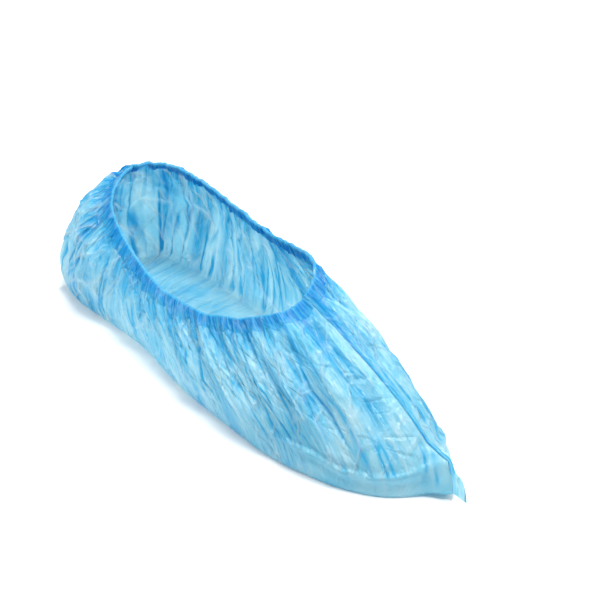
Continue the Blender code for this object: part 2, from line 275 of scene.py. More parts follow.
def soft_noise(x, y, seed):
    """Smooth random field from -1 to 1 whose cells are one unit wide."""
    size = 64
    table = np.random.default_rng(seed).uniform(-1.0, 1.0, (size, size))
    i, j = np.floor(x).astype(int), np.floor(y).astype(int)
    fx, fy = smooth_step(x - i), smooth_step(y - j)
    top = table[i % size, j % size] * (1 - fx) + table[(i + 1) % size, j % size] * fx
    low = table[i % size, (j + 1) % size] * (1 - fx) + table[(i + 1) % size, (j + 1) % size] * fx
    return top * (1 - fy) + low * fy


def facets(x, y, seed):
    """Crumpled random field from -1 to 1: flat facets that meet in sharp creases."""
    size = 64
    table = np.random.default_rng(seed).uniform(-1.0, 1.0, (size, size))
    bent_x = x + 0.7 * soft_noise(0.6 * x, 0.6 * y, seed + 1)
    bent_y = y + 0.7 * soft_noise(0.6 * x + 17.3, 0.6 * y + 5.1, seed + 2)
    i, j = np.floor(bent_x).astype(int), np.floor(bent_y).astype(int)
    fx, fy = bent_x - i, bent_y - j
    h00, h10 = table[i % size, j % size], table[(i + 1) % size, j % size]
    h01, h11 = table[i % size, (j + 1) % size], table[(i + 1) % size, (j + 1) % size]
    first = h00 + fx * (h10 - h00) + fy * (h01 - h00)
    second = h11 + (1 - fx) * (h01 - h11) + (1 - fy) * (h10 - h11)
    return np.where(fx + fy < 1.0, first, second)


def section_columns(loop):
    """All columns of the section tables at places of the loop, 0 to 1 near and 1 to 2 far."""
    near = loop <= 1.0
    place = np.where(near, loop, 2.0 - loop)
    columns = [
        np.where(near, read_table(NEAR_SIDE, c, place), read_table(FAR_SIDE, c, place))
        for c in range(1, NEAR_SIDE.shape[1])
    ]
    return np.stack(columns, axis=-1)


def coarse_outward():
    """Level directions away from the sole at 128 places of the loop, softened at the corners."""
    count = 128
    columns = section_columns(np.arange(count) * 2.0 / count)
    feet = np.stack((columns[:, 3] * WIDTH, columns[:, 4] * LENGTH), axis=-1)
    along = np.roll(feet, -2, axis=0) - np.roll(feet, 2, axis=0)
    across = unit(np.stack((-along[:, 1], along[:, 0]), axis=-1))
    return unit(sum(np.roll(across, shift, axis=0) for shift in (-2, -1, 0, 1, 2)))


class FilmSurface:
    """The worn film as a loop of ribs from the rim to the sole's edge, with its wrinkles."""

    per_side = 448
    samples = 240
    stroke_count = 820
    crush_count = 1500

    def __init__(self, pleat_spacing, pleat_height, crinkle_height, welt_height, seed):
        self.pleat_spacing = pleat_spacing
        self.pleat_height = pleat_height
        self.crinkle_height = crinkle_height
        self.welt_height = welt_height
        self.seed = seed
        self.loop, self.rim_way = self.even_places()
        self.count = len(self.loop)
        self.near = self.loop <= 1.0
        self.place = np.where(self.near, self.loop, 2.0 - self.loop)
        self.curves = self.rib_curves()
        steps = np.linalg.norm(np.diff(self.curves, axis=1), axis=2)
        self.ways = np.concatenate((np.zeros((self.count, 1)), np.cumsum(steps, axis=1)), axis=1)
        self.length = self.ways[:, -1]
        self.rim_pace = self.pace(self.curves[:, 0])
        self.foot_pace = self.pace(self.curves[:, -1])
        self.strokes = self.draw_strokes()
        self.crushes = self.draw_crushes()

    def even_places(self):
        """Places of the loop that lie evenly along the rim, with both seams on a rib."""
        places, ways = [], []
        start = 0.0
        for side in (0, 1):
            dense = side + np.linspace(0.0, 1.0, 2001)
            rim = section_columns(np.minimum(dense, 1.9999999))[:, :3] * (WIDTH, LENGTH, HEIGHT)
            way = np.concatenate(([0.0], np.cumsum(np.linalg.norm(np.diff(rim, axis=0), axis=1))))
            even = np.linspace(0.0, way[-1], self.per_side, endpoint=False)
            places.append(np.interp(even, way, dense))
            ways.append(start + even)
            start += way[-1]
        self.rim_length = start
        return np.concatenate(places), np.concatenate(ways)

    def rib_curves(self):
        """Sections of the smooth wall, each from the rim to the sole's edge."""
        columns = section_columns(self.loop)
        rim = columns[:, :3] * (WIDTH, LENGTH, HEIGHT)
        foot = np.stack((columns[:, 3] * WIDTH, columns[:, 4] * LENGTH, 0.0 * self.loop), axis=-1)
        run, shoulder, swell = columns[:, 5:6], columns[:, 6:7], columns[:, 7:8]
        coarse = coarse_outward()
        closed = np.concatenate((coarse, coarse[:1]))
        marks = np.linspace(0.0, 2.0, len(closed))
        outward = unit(np.stack([np.interp(self.loop, marks, closed[:, k]) for k in (0, 1)], axis=-1))
        outward = np.concatenate((outward, np.zeros((self.count, 1))), axis=1)
        way = (foot - rim) * (1.0, 1.0, 0.0)
        upper = rim + way * run + outward * shoulder * WIDTH
        upper[:, 2] -= SHOULDER_DROP * rim[:, 2]
        lower = foot + outward * swell * WIDTH
        lower[:, 2] += SWELL_RISE * rim[:, 2]
        t = np.linspace(0.0, 1.0, self.samples + 1)[None, :, None]
        curve = ((1 - t) ** 3 * rim[:, None] + 3 * (1 - t) ** 2 * t * upper[:, None]
                 + 3 * (1 - t) * t * t * lower[:, None] + t ** 3 * foot[:, None])
        # The pointed corner at the toe stands a little off the floor
        spring = 0.003 * np.exp(-(self.place / 0.045) ** 2)
        curve[..., 2] += spring[:, None] * t[..., 0] ** 2
        return curve + CENTRE_SHIFT

    def pace(self, points):
        """Millimetres along a line of points for one unit of the loop."""
        step = np.linalg.norm(np.roll(points, -1, axis=0) - np.roll(points, 1, axis=0), axis=1)
        turn = (np.roll(self.loop, -1) - np.roll(self.loop, 1)) % 2.0
        return step / turn / MILLIMETRE

    def smooth_points(self, depth):
        """Points of the smooth wall at depths below the rim, one row of depths for each rib."""
        points = np.empty(depth.shape + (3,))
        for rib in range(self.count):
            for axis in range(3):
                points[rib, :, axis] = np.interp(depth[rib], self.ways[rib], self.curves[rib, :, axis])
        return points

    def draw_strokes(self):
        """Random long wrinkles that fan out from the gathers."""
        rng = np.random.default_rng(self.seed)
        strokes = []
        for _ in range(self.stroke_count):
            rib = rng.integers(self.count)
            start = rng.uniform(0.0, 0.55) ** 1.3
            strokes.append((
                self.loop[rib], rng.uniform(-0.035, 0.035), start,
                start + rng.uniform(0.12, 0.55), rng.uniform(0.6, 1.8),
                rng.choice((-1.0, 1.0)) * rng.uniform(0.25, 1.1), rng.uniform(-0.6, 0.8)))
        return strokes

    def draw_crushes(self):
        """Random short sharp crinkles that lie across the long wrinkles."""
        rng = np.random.default_rng(self.seed + 1)
        crushes = []
        for _ in range(self.crush_count):
            rib = rng.integers(self.count)
            crushes.append((
                rib, rng.uniform(0.06, 1.0), rng.normal(0.0, 0.6), rng.uniform(3.0, 11.0),
                rng.uniform(0.45, 0.9), rng.choice((-1.0, 1.0)) * rng.uniform(0.12, 0.5)))
        return crushes

    def lift(self, depth):
        """Height of the film above the smooth wall, and how doubled and creased it is."""
        way = depth / self.length[:, None]
        loop = self.loop[:, None] + 0.0 * depth
        place = self.place[:, None] + 0.0 * depth
        near = self.near[:, None] & (depth > -1.0)
        pace = self.rim_pace[:, None] * (1 - way) + self.foot_pace[:, None] * way
        height = np.zeros_like(depth)
        doubled = np.zeros_like(depth)

        for side, centre, drift, start, end, breadth, high in FOLDS:
            offset = (place - centre - drift * way) / breadth
            span = (way - start) / (end - start)
            inside = (near == (side < 0)) & (np.abs(offset) < 1.0) & (span > 0.0) & (span < 1.0)
            shape = (1 - offset ** 2) ** 2 * np.sin(pi * np.clip(span, 0.0, 1.0))
            height += np.where(inside, 0.65 * high * HEIGHT * shape, 0.0)

        for crease in CREASES:
            line = np.array(crease.line)
            centre = np.interp(way, line[:, 0], line[:, 1])
            wobble = 0.6 * soft_noise(way * 9.0, loop * 3.0, 91)
            offset = ((place - centre) * pace + wobble) / crease.breadth
            span = (way - line[0, 0]) / (line[-1, 0] - line[0, 0])
            ends = smooth_step(span / 0.12) * smooth_step((1.0 - span) / 0.25)
            shape = np.exp(-offset ** 2) * ends * (near == (crease.side < 0))
            height -= crease.depth * MILLIMETRE * shape
            beside = np.exp(-(offset - 2.2) ** 2) * ends * (near == (crease.side < 0))
            height += 0.6 * crease.depth * MILLIMETRE * beside
            doubled = np.maximum(doubled, crease.dark * shape)

        welt_at = np.where(
            near, np.interp(place, WELT_NEAR[:, 0], WELT_NEAR[:, 1]),
            np.interp(place, WELT_FAR[:, 0], WELT_FAR[:, 1]))
        beyond = (way - welt_at) * self.length[:, None] / MILLIMETRE
        limit = np.where(near, 0.36, 0.20)
        welt = smooth_step((limit - place) / 0.10)
        taut = 1.0 - 0.75 * welt * smooth_step((beyond + 1.5) / 2.5)
        from_toe = np.minimum(loop, 2.0 - loop) * pace
        taut *= 0.25 + 0.75 * smooth_step((from_toe - 1.5) / 5.0)
        heel = smooth_step((place - 0.70) / 0.20)

        for centre, drift, start, end, breadth, high, dark in self.strokes:
            ribs = np.flatnonzero(np.abs((self.loop - centre + 1.0) % 2.0 - 1.0) < 0.09)
            part = (way[ribs] - start) / (end - start)
            gap = (self.loop[ribs, None] - centre + 1.0) % 2.0 - 1.0 - drift * part
            offset = gap * pace[ribs] / (breadth * (0.8 + 0.6 * part))
            profile = 0.3 * np.exp(-offset ** 2) + 0.7 * np.exp(-2.0 * np.abs(offset))
            shape = profile * np.sin(pi * np.clip(part, 0.0, 1.0)) ** 0.7 * taut[ribs]
            shape *= 1.0 - 0.6 * heel[ribs]
            height[ribs] += high * MILLIMETRE * shape
            line = np.exp(-(offset / 0.6) ** 2) * np.sin(pi * np.clip(part, 0.0, 1.0)) * taut[ribs]
            doubled[ribs] = np.maximum(doubled[ribs], dark * line * (1.0 - 0.7 * heel[ribs]))

        rim_way = self.rim_way[:, None] / MILLIMETRE + 0.0 * depth
        down = depth / MILLIMETRE
        for rib, share, turn, reach, breadth, high in self.crushes:
            ribs = (rib + np.arange(-28, 29)) % self.count
            gap = ((self.loop[ribs] - self.loop[rib] + 1.0) % 2.0 - 1.0)[:, None] * pace[ribs]
            drop = down[ribs] - share * self.length[rib] / MILLIMETRE
            forth = drop * cos(turn) + gap * sin(turn)
            aside = gap * cos(turn) - drop * sin(turn)
            ends = np.clip(1.0 - (forth / reach) ** 2, 0.0, 1.0)
            height[ribs] += high * MILLIMETRE * np.exp(-1.4 * np.abs(aside) / breadth) * ends * taut[ribs]
        sway = 1.6 * soft_noise(rim_way / 14.0, down / 18.0, self.seed + 31)
        for period, high, reach, seed in (
                (0.62 * self.pleat_spacing / MILLIMETRE, 0.5 * self.pleat_height, 9.0, 40),
                (self.pleat_spacing / MILLIMETRE, self.pleat_height, 14.0, 41),
                (2.1 * self.pleat_spacing / MILLIMETRE, 1.35 * self.pleat_height, 28.0, 42),
                (4.3 * self.pleat_spacing / MILLIMETRE, 1.6 * self.pleat_height, 65.0, 43)):
            count = 2 * round(self.rim_length / MILLIMETRE / period / 2)
            turns = (rim_way + sway) * count / (self.rim_length / MILLIMETRE)
            size = 0.55 + 0.45 * soft_noise(turns / 2.3, down / 25.0, seed + self.seed)
            shape = (1.0 - 2.0 * np.abs(np.sin(0.5 * pi * turns))) * size
            fade = np.exp(-(down / reach) ** 1.5)
            height += high * shape * fade * (0.3 + 0.7 * smooth_step((down - 1.0) / 4.0))
            doubled = np.maximum(doubled, np.clip(-shape * 1.2, 0.0, 1.0) ** 1.5 * fade)
        # Gathered film lies close together under the hem and looks deeper blue
        patchy = 0.8 + 0.4 * soft_noise(rim_way / 9.0, down / 30.0, 47)
        crowd = 0.80 * np.exp(-(down / 13.0) ** 1.8) * patchy
        bunched = np.maximum(smooth_step((place - 0.84) / 0.12), smooth_step((0.40 - place) / 0.2) * ~near)
        crowd = np.minimum(crowd + 0.60 * bunched * np.exp(-(down / 18.0) ** 2), 1.0)
        doubled = 1.0 - (1.0 - doubled) * (1.0 - crowd)

        crumple = 0.60 * facets(rim_way / 3.8, down / 12.0 + rim_way / 30.0, 51)
        crumple += 0.36 * facets(rim_way / 2.1 + down / 17.0, down / 6.0, 52)
        crumple += 0.45 * facets(rim_way / 6.5 - down / 21.0, down / 15.0, 53)
        rest = 0.25 + 0.75 * smooth_step(down / 12.0)
        height += self.crinkle_height * crumple * rest * (1.0 - 0.3 * heel) * taut
        large = facets(self.rim_way[:, None] / 0.0085 + down / 31.0, down / 11.0, 54)
        large += 0.5 * facets(self.rim_way[:, None] / 0.0045 - down / 13.0, down / 5.5, 55)
        height += 2.8 * self.crinkle_height * large * rest * heel * taut

        height += self.welt_height * welt * np.exp(-(beyond / 1.3) ** 2)
        height -= 0.5 * self.welt_height * welt * np.exp(-((beyond - 4.5) / 2.5) ** 2)
        height -= 0.4 * self.welt_height * welt * np.exp(-((beyond + 3.5) / 2.0) ** 2)

        fade_out = 1.0 - smooth_step((self.length[:, None] - depth) / 0.004)
        height *= 1.0 - 0.85 * fade_out
        # The film draws out into the pointed corner at the toe's foot
        drawn = smooth_step((way - 0.80) / 0.12) * (1.0 - 0.2 * smooth_step((way - 0.93) / 0.07))
        height += 0.0098 * np.exp(-from_toe / 7.0) * drawn
        creased = taut * (0.7 + 0.3 * heel) * (1.0 - 0.6 * fade_out)
        return height, np.stack((np.clip(doubled, 0.0, 1.0), creased), axis=-1)

    def lie(self, depth):
        """Millimetres along the loop and down the wall."""
        across = self.rim_way[:, None] / MILLIMETRE + 0.0 * depth
        return np.stack((across, depth / MILLIMETRE), axis=-1)

    def wall(self, depth, inset=0.0):
        """Points of the wrinkled wall, its outward directions, and its doubled and creased marks."""
        smooth = self.smooth_points(depth)
        reach = np.minimum(0.002, 0.5 * self.length)[:, None]
        below = self.smooth_points(np.minimum(depth + reach, self.length[:, None]))
        above = self.smooth_points(np.maximum(depth - reach, 0.0))
        along = np.roll(smooth, -3, axis=0) - np.roll(smooth, 3, axis=0)
        normal = unit(np.cross(along, below - above))
        height, marks = self.lift(depth)
        return smooth + normal * (height - inset)[..., None], normal, marks


@lru_cache(maxsize=2)
def film_surface(*sizes):
    """One surface for all the operators that ask for the same sizes."""
    return FilmSurface(*sizes)


def surface_of(context):
    """The wrinkled surface that the settings ask for."""
    folds = context.scene.cover_folds
    return film_surface(folds.pleat_spacing, folds.pleat_height, folds.crinkle_height,
                        folds.welt_height, folds.seed)


def add_node(tree, kind, settings=(), links=()):
    """New node with its settings, by property or socket name, and its incoming links.

    Sockets that share a name are given by number. A link comes from a socket, or from a
    node's first output.
    """
    node = tree.nodes.new(kind)
    for name, value in dict(settings).items():
        if isinstance(name, str) and hasattr(node, name):
            setattr(node, name, value)
        else:
            node.inputs[name].default_value = value
    for name, source in dict(links).items():
        socket = source.outputs[0] if isinstance(source, bpy.types.Node) else source
        tree.links.new(socket, node.inputs[name])
    return node


def new_material(name):
    """Empty node material and its tree."""
    material = bpy.data.materials.new(name)
    material.use_nodes = True
    material.node_tree.nodes.clear()
    return material, material.node_tree


def fold_lines(tree, lie, creased, apart, along, turn):
    """Straight sharp folds, peaks of 1 that fall to 0 within 0.9 mm and fade in and out.

    They lie so many millimetres apart and along, turned off the run of the gathers.
    """
    combed = add_node(tree, "ShaderNodeMapping",
                      {"vector_type": "TEXTURE", "Scale": (apart, along, 1.0), "Rotation": (0.0, 0.0, turn)},
                      {"Vector": lie})
    facet = add_node(tree, "ShaderNodeTexVoronoi",
                     {"feature": "DISTANCE_TO_EDGE", "Scale": 1.0}, {"Vector": combed})
    line = add_node(tree, "ShaderNodeMapRange", {"From Max": 0.9 / apart, "To Min": 1.0, "To Max": 0.0},
                    {"Value": facet})
    patch = add_node(tree, "ShaderNodeTexNoise", {"Scale": 0.8, "Detail": 1.0}, {"Vector": combed})
    shown = add_node(tree, "ShaderNodeMapRange", {"From Min": 0.40, "From Max": 0.60}, {"Value": patch})
    folded = add_node(tree, "ShaderNodeMath", {"operation": "MULTIPLY"}, {0: line, 1: shown})
    return add_node(tree, "ShaderNodeMath", {"operation": "MULTIPLY"}, {0: folded, 1: creased})


def blown_polyethylene_film(name, taut, slack, doubled, roughness, translucent, clear, gloss, apart):
    """Blown low density polyethylene film, tinted in the mass and crinkled by packing.

    Light passes through it, single film looks pale and doubled film deep blue, and the
    crinkles break a soft gloss into short white streaks, helped by a painted white
    highlight along the sharp bends.
    """
    material, tree = new_material(name)
    place = add_node(tree, "ShaderNodeTexCoord").outputs["Object"]
    folded = add_node(tree, "ShaderNodeAttribute", {"attribute_name": "doubled"}).outputs["Fac"]
    creased = add_node(tree, "ShaderNodeAttribute", {"attribute_name": "creased"}).outputs["Fac"]
    # Millimetres along the rim and down the wall, so the streaks run with the gathers
    lie = add_node(tree, "ShaderNodeAttribute", {"attribute_name": "lie"}).outputs["Vector"]
    # Thickness of blown film wanders over about 25 mm
    cloud = add_node(tree, "ShaderNodeTexNoise", {"Scale": 1 / 0.025, "Detail": 3.0}, {"Vector": place})
    # Drawn film shows streaks so many millimetres apart and about 36 mm long
    drawn = add_node(tree, "ShaderNodeMapping",
                     {"vector_type": "TEXTURE", "Scale": (apart, 36.0, 1.0)}, {"Vector": lie})
    streak = add_node(tree, "ShaderNodeTexNoise", {"Scale": 1.0, "Detail": 3.0, "Distortion": 0.4},
                      {"Vector": drawn})
    faint = add_node(tree, "ShaderNodeMapRange", {"To Min": 0.05, "To Max": 0.95}, {"Value": streak})
    # Film lying flat at the sole's edge isn't drawn, and slack heel film is creased instead,
    # so both show few streaks
    tension = add_node(tree, "ShaderNodeValToRGB", links={"Fac": creased})
    tension.color_ramp.elements[0].color = (0.0, 0.0, 0.0, 1.0)
    tension.color_ramp.elements[1].color = (0.3, 0.3, 0.3, 1.0)
    for at in (0.60, 0.78):
        tension.color_ramp.elements.new(at).color = (1.0, 1.0, 1.0, 1.0)
    eased = add_node(tree, "ShaderNodeMix", {"data_type": "FLOAT", 2: 0.5}, {0: tension, 3: faint})
    uneven = add_node(tree, "ShaderNodeMath", {"operation": "MULTIPLY"}, {0: cloud, 1: eased})
    shade = add_node(tree, "ShaderNodeValToRGB", links={"Fac": uneven})
    shade.color_ramp.elements[0].position = 0.12
    shade.color_ramp.elements[0].color = (*slack, 1.0)
    shade.color_ramp.elements[1].position = 0.36
    shade.color_ramp.elements[1].color = (*taut, 1.0)
    # Long folds with the gathers, oblique folds across them, and raised bend lines that carry a painted
    # white highlight
    long_folds, oblique_folds, bend_relief_and_painted_highlight = [
        fold_lines(tree, lie, creased, *spread)
        for spread in ((4.0, 55.0, 0.0), (7.0, 28.0, 0.45), (6.0, 20.0, -0.35))]
    deepest = add_node(tree, "ShaderNodeMath", {"operation": "MAXIMUM"}, {0: long_folds, 1: oblique_folds})
    narrow = add_node(tree, "ShaderNodeMath", {"operation": "POWER", 1: 1.5}, {0: long_folds})
    # Gathers lie more layers deep in some streaks than in others
    pleated = add_node(tree, "ShaderNodeMapRange",
                       {"From Min": 0.36, "From Max": 0.62, "To Min": 0.30, "To Max": 1.25},
                       {"Value": streak})
    gathered = add_node(tree, "ShaderNodeMath", {"operation": "MULTIPLY"}, {0: folded, 1: pleated})
    depth = add_node(tree, "ShaderNodeMath", {"operation": "MAXIMUM"}, {0: narrow, 1: gathered})
    # Each further layer takes the same share of the light again
    layers = add_node(tree, "ShaderNodeValToRGB", links={"Fac": depth})
    layers.color_ramp.elements[0].color = (1.0, 1.0, 1.0, 1.0)
    layers.color_ramp.elements[1].color = (*doubled, 1.0)
    layers.color_ramp.elements.new(0.5).color = (*[c ** 0.5 for c in doubled], 1.0)
    colour = add_node(tree, "ShaderNodeMix", {"data_type": "RGBA", "blend_type": "MULTIPLY", 0: 1.0},
                      {6: shade, 7: layers}).outputs[2]
    # Painted highlight: white is painted along the sharp bends, standing in for gloss caught on the crinkles
    painted_highlight = add_node(tree, "ShaderNodeMath", {"operation": "MULTIPLY", 1: 0.5}, {0: bend_relief_and_painted_highlight})
    colour_with_painted_highlight = add_node(tree, "ShaderNodeMix", {"data_type": "RGBA", 7: (*linear("E5FCFF"), 1.0)},
                    {0: painted_highlight, 6: colour}).outputs[2]
    # Packing leaves crinkles about 1.2 mm apart and 4 mm long
    crushed = add_node(tree, "ShaderNodeMapping",
                       {"vector_type": "TEXTURE", "Scale": (1.2, 4.0, 1.0)}, {"Vector": lie})
    crinkle = add_node(tree, "ShaderNodeTexVoronoi",
                       {"feature": "DISTANCE_TO_EDGE", "Scale": 1.0}, {"Vector": crushed})
    grain = add_node(tree, "ShaderNodeTexNoise", {"Scale": 1 / 0.0016, "Detail": 3.0}, {"Vector": place})
    raised = add_node(tree, "ShaderNodeMath", {"operation": "SUBTRACT"}, {0: bend_relief_and_painted_highlight, 1: deepest})
    relief = add_node(tree, "ShaderNodeBump", {"Strength": 1.0, "Distance": 0.0011}, {"Height": raised})
    for strength, distance, height in ((0.7, 0.0008, eased), (0.75, 0.0006, crinkle), (0.40, 0.0004, grain)):
        relief = add_node(tree, "ShaderNodeBump", {"Strength": strength, "Distance": distance},
                          {"Height": height, "Normal": relief})
    rough = add_node(tree, "ShaderNodeMapRange",
                     {"From Min": 0.3, "From Max": 0.7, "To Min": roughness, "To Max": roughness + 0.14},
                     {"Value": streak})
    body = add_node(tree, "ShaderNodeBsdfPrincipled",
                    {"IOR": 1.51, "Specular IOR Level": 0.5 * gloss, "Coat Weight": 0.4 * gloss,
                     "Coat Roughness": 0.26},
                    {"Base Color": colour_with_painted_highlight, "Roughness": rough, "Normal": relief, "Coat Normal": relief})
    through = add_node(tree, "ShaderNodeBsdfTranslucent", links={"Color": colour_with_painted_highlight, "Normal": relief})
    lit = add_node(tree, "ShaderNodeMixShader", {0: translucent}, {1: body, 2: through})
    open_film = add_node(tree, "ShaderNodeBsdfTransparent", links={"Color": colour_with_painted_highlight})
    share = add_node(tree, "ShaderNodeMapRange", {"From Max": 0.35, "To Min": clear, "To Max": 0.0},
                     {"Value": depth})
    film = add_node(tree, "ShaderNodeMixShader", links={0: share, 1: lit, 2: open_film})
    add_node(tree, "ShaderNodeOutputMaterial", links={"Surface": film})
    return material


def covered_rubber(colour):
    """Latex elastic spun over with fine yarn: matt, with a fine wound texture."""
    material, tree = new_material("covered_rubber_elastic")
    place = add_node(tree, "ShaderNodeTexCoord").outputs["Object"]
    # The yarn's turns are about 0.4 mm apart
    yarn = add_node(tree, "ShaderNodeTexNoise", {"Scale": 1 / 0.0004, "Detail": 1.0}, {"Vector": place})
    tone = add_node(tree, "ShaderNodeMix", {"data_type": "RGBA", 6: (*[0.8 * c for c in colour], 1.0),
                                            7: (*colour, 1.0)}, {0: yarn}).outputs[2]
    relief = add_node(tree, "ShaderNodeBump", {"Strength": 0.4, "Distance": 0.0001}, {"Height": yarn})
    body = add_node(tree, "ShaderNodeBsdfPrincipled", {"IOR": 1.52, "Roughness": 0.75},
                    {"Base Color": tone, "Normal": relief})
    add_node(tree, "ShaderNodeOutputMaterial", links={"Surface": body})
    return material


def painted_board(colour):
    """Matt white studio board: an even pale ground with soft shadows."""
    material, tree = new_material("matt_studio_board")
    place = add_node(tree, "ShaderNodeTexCoord").outputs["Object"]
    grain = add_node(tree, "ShaderNodeTexNoise", {"Scale": 40.0, "Detail": 2.0}, {"Vector": place})
    tone = add_node(tree, "ShaderNodeMix", {"data_type": "RGBA", 6: (*[0.995 * c for c in colour], 1.0),
                                            7: (*colour, 1.0)}, {0: grain}).outputs[2]
    body = add_node(tree, "ShaderNodeBsdfPrincipled",
                    {"Roughness": 0.9, "Specular IOR Level": 0.1}, {"Base Color": tone})
    add_node(tree, "ShaderNodeOutputMaterial", links={"Surface": body})
    return material


def add_piece(context, name, material, points, faces, marks=None, lie=None):
    """Smooth-shaded mesh piece that keeps how its film is doubled, creased and laid on its points."""
    mesh = bpy.data.meshes.new(name)
    mesh.from_pydata(points.tolist(), [], faces)
    mesh.update()
    mesh.shade_smooth()
    if marks is not None:
        for column, key in enumerate(("doubled", "creased")):
            layer = mesh.attributes.new(key, "FLOAT", "POINT")
            layer.data.foreach_set("value", marks[..., column].astype(np.float32).ravel())
    if lie is not None:
        layer = mesh.attributes.new("lie", "FLOAT_VECTOR", "POINT")
        flat = np.column_stack((lie[..., 0].ravel(), lie[..., 1].ravel(), np.zeros(lie[..., 0].size)))
        layer.data.foreach_set("vector", flat.astype(np.float32).ravel())
    mesh.materials.append(material)
    piece = bpy.data.objects.new(name, mesh)
    context.scene.collection.objects.link(piece)
    return piece


def strip_faces(ribs, rows, closed=True):
    """Quads of a grid of ribs by rows, closed round the loop."""
    last = ribs if closed else ribs - 1
    faces = []
    for rib in range(last):
        here, there = rib * rows, (rib + 1) % ribs * rows
        for row in range(rows - 1):
            faces.append((here + row, there + row, there + row + 1, here + row + 1))
    return faces


def film_bag_mesh(surface, top):
    """Wall from under the hem to the sole's edge, and the sole across."""
    wall_rows, sole_rows = 84, 9
    share = np.linspace(0.0, 1.0, wall_rows + 1) ** 1.12
    depth = top + (surface.length[:, None] - top) * share
    tuck = 0.0003 * (1.0 - smooth_step((depth - top) / 0.006))
    wall, _, marks = surface.wall(depth, tuck)
    wall[:, -1, 2] = surface.curves[:, -1, 2]
    wall[..., 2] = np.maximum(wall[..., 2], FLOOR_GAP)
    rows = wall_rows + 1
    faces = strip_faces(surface.count, rows)
    half = surface.per_side
    foot = wall[:, -1]
    partner = (-np.arange(surface.count)) % surface.count
    spine = 0.5 * (foot[:half + 1] + foot[partner[:half + 1]])
    spine[:, 1] *= 0.90
    spine[:, 2] = FLOOR_GAP
    spine_of = np.minimum(np.arange(surface.count), partner)
    inner = np.arange(1, sole_rows + 1)[None, :, None] / sole_rows
    sole = foot[:, None] * (1 - inner) + spine[spine_of][:, None] * inner
    slack = facets(sole[..., 0] / 0.011, sole[..., 1] / 0.019, 61)
    sole[..., 2] += 0.0008 * np.abs(slack) * np.sin(pi * inner[..., 0])
    sole_base = surface.count * rows
    for rib in range(surface.count):
        ring = []
        for at in (rib, (rib + 1) % surface.count):
            start = sole_base + at * sole_rows
            ring.append([at * rows + wall_rows, *range(start, start + sole_rows)])
        here, there = ring
        for k in range(sole_rows):
            faces.append((here[k], there[k], there[k + 1], here[k + 1]))
    inward = np.linalg.norm(sole - foot[:, None], axis=-1)
    lie = np.concatenate((surface.lie(depth).reshape(-1, 2),
                          surface.lie(surface.length[:, None] + inward).reshape(-1, 2)))
    marks = np.concatenate((marks.reshape(-1, 2), np.full((sole[..., 0].size, 2), (0.0, 0.4))))
    return np.concatenate((wall.reshape(-1, 3), sole.reshape(-1, 3))), faces, marks, lie


def hem_ruffle_mesh(surface, hem_depth, roll):
    """Hem turned over the elastic: outer leg, round crown and short inner leg."""
    turns = np.linspace(0.0, pi, 9)
    outer = np.linspace(hem_depth, roll, 15)[:-1]
    below = np.concatenate((outer, roll - roll * np.sin(turns), np.linspace(roll, HEM_TURN, 9)[1:]))
    inset = np.concatenate((0.0 * outer, roll - roll * np.cos(turns), np.full(8, 2 * roll)))
    proud = 0.00015 * smooth_step((hem_depth - below) / 0.003) * (inset == 0.0)
    uneven = 0.0022 * soft_noise(surface.rim_way / 0.0045, 0.0 * surface.rim_way, 73) - 0.0010
    depth = below[None, :] + uneven[:, None] * smooth_step((below - 0.004) / 0.006)[None, :]
    points, _, marks = surface.wall(depth, (inset - proud)[None, :])
    # The hem is double film, and its lower edge thins out into the wall
    double = 0.80 * smooth_step((0.8 * hem_depth - below) / 0.004)[None, :]
    marks[..., 0] = 1.0 - (1.0 - marks[..., 0]) * (1.0 - double)
    marks *= 1.0 - 0.6 * smooth_step((0.0015 - below) / 0.0008)[None, :, None]
    marks[..., 1] *= 0.4
    wave = soft_noise(surface.rim_way / 0.007, 0.0 * surface.rim_way, 71)
    points[..., 2] += 0.0005 * wave[:, None] * smooth_step(1.0 - below / hem_depth)[None, :]
    return points.reshape(-1, 3), strip_faces(surface.count, len(below)), marks, surface.lie(depth)


def elastic_ring_mesh(surface, roll, radius):
    """Round elastic in the hem's turn."""
    sides = 10
    depth = np.full((surface.count, 1), roll)
    centre, normal, _ = surface.wall(depth, roll)
    centre, normal = centre[:, 0], normal[:, 0]
    for _ in range(6):
        centre = 0.25 * np.roll(centre, 1, axis=0) + 0.5 * centre + 0.25 * np.roll(centre, -1, axis=0)
    along = unit(np.roll(centre, -1, axis=0) - np.roll(centre, 1, axis=0))
    up = unit(np.cross(normal, along))
    side = np.cross(along, up)
    turn = np.arange(sides) * 2 * pi / sides
    ring = centre[:, None] + radius * (
        side[:, None] * np.cos(turn)[None, :, None] + up[:, None] * np.sin(turn)[None, :, None])
    faces = []
    for rib in range(0, surface.count, 2):
        here, there = rib // 2 * sides, (rib + 2) % surface.count // 2 * sides
        for k in range(sides):
            beside = (k + 1) % sides
            faces.append((here + k, there + k, there + beside, here + beside))
    return ring[::2].reshape(-1, 3), faces


